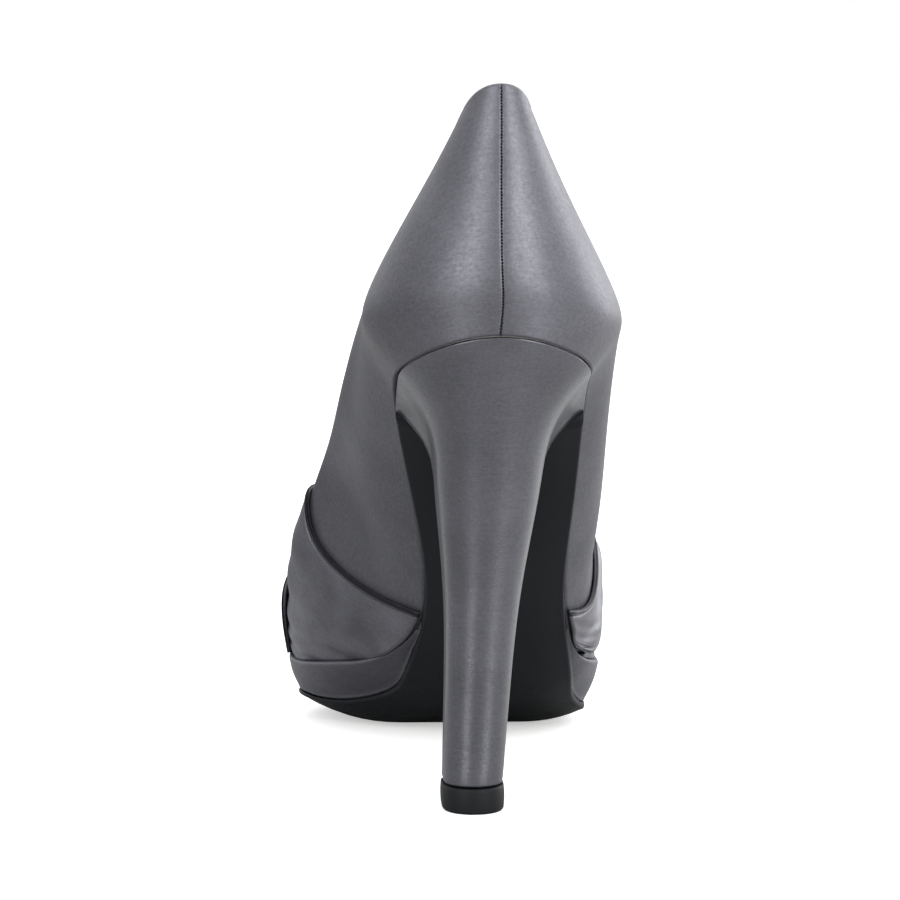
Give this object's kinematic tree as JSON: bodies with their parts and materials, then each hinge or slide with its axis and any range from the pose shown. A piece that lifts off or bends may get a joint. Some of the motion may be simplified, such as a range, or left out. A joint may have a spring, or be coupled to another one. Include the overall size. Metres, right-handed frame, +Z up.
{
  "type": "peep toe platform pump",
  "caption": "Right high-heeled pump covered in grey satin, with an open toe, a hidden front platform and two bands that cross over the vamp",
  "frame": {"origin": "middle of the underside of the heel's top piece, on the floor", "axes": "+Z is up, +Y runs from the heel to the toe, +X runs to the outer side of the right foot"},
  "size_m": [0.0841, 0.2127, 0.169],
  "materials": {
    "upper_satin": "smooth satin with a soft sheen, dark silver grey",
    "band_satin": "smooth satin with a soft sheen, dark silver grey",
    "platform_satin": "smooth satin with a soft sheen, dark silver grey",
    "heel_satin": "smooth satin with a soft sheen, dark silver grey",
    "insole_lining": "matt grey lining",
    "outsole_black": "smooth black, slightly glossy",
    "top_piece_black": "matt black"
  },
  "bodies": {
    "root": {"upper": "upper_satin", "band_under": "band_satin", "band_over": "band_satin", "insole": "insole_lining", "outsole": "outsole_black", "platform": "platform_satin", "heel": "heel_satin", "top_piece": "top_piece_black"}
  },
  "joints": []
}
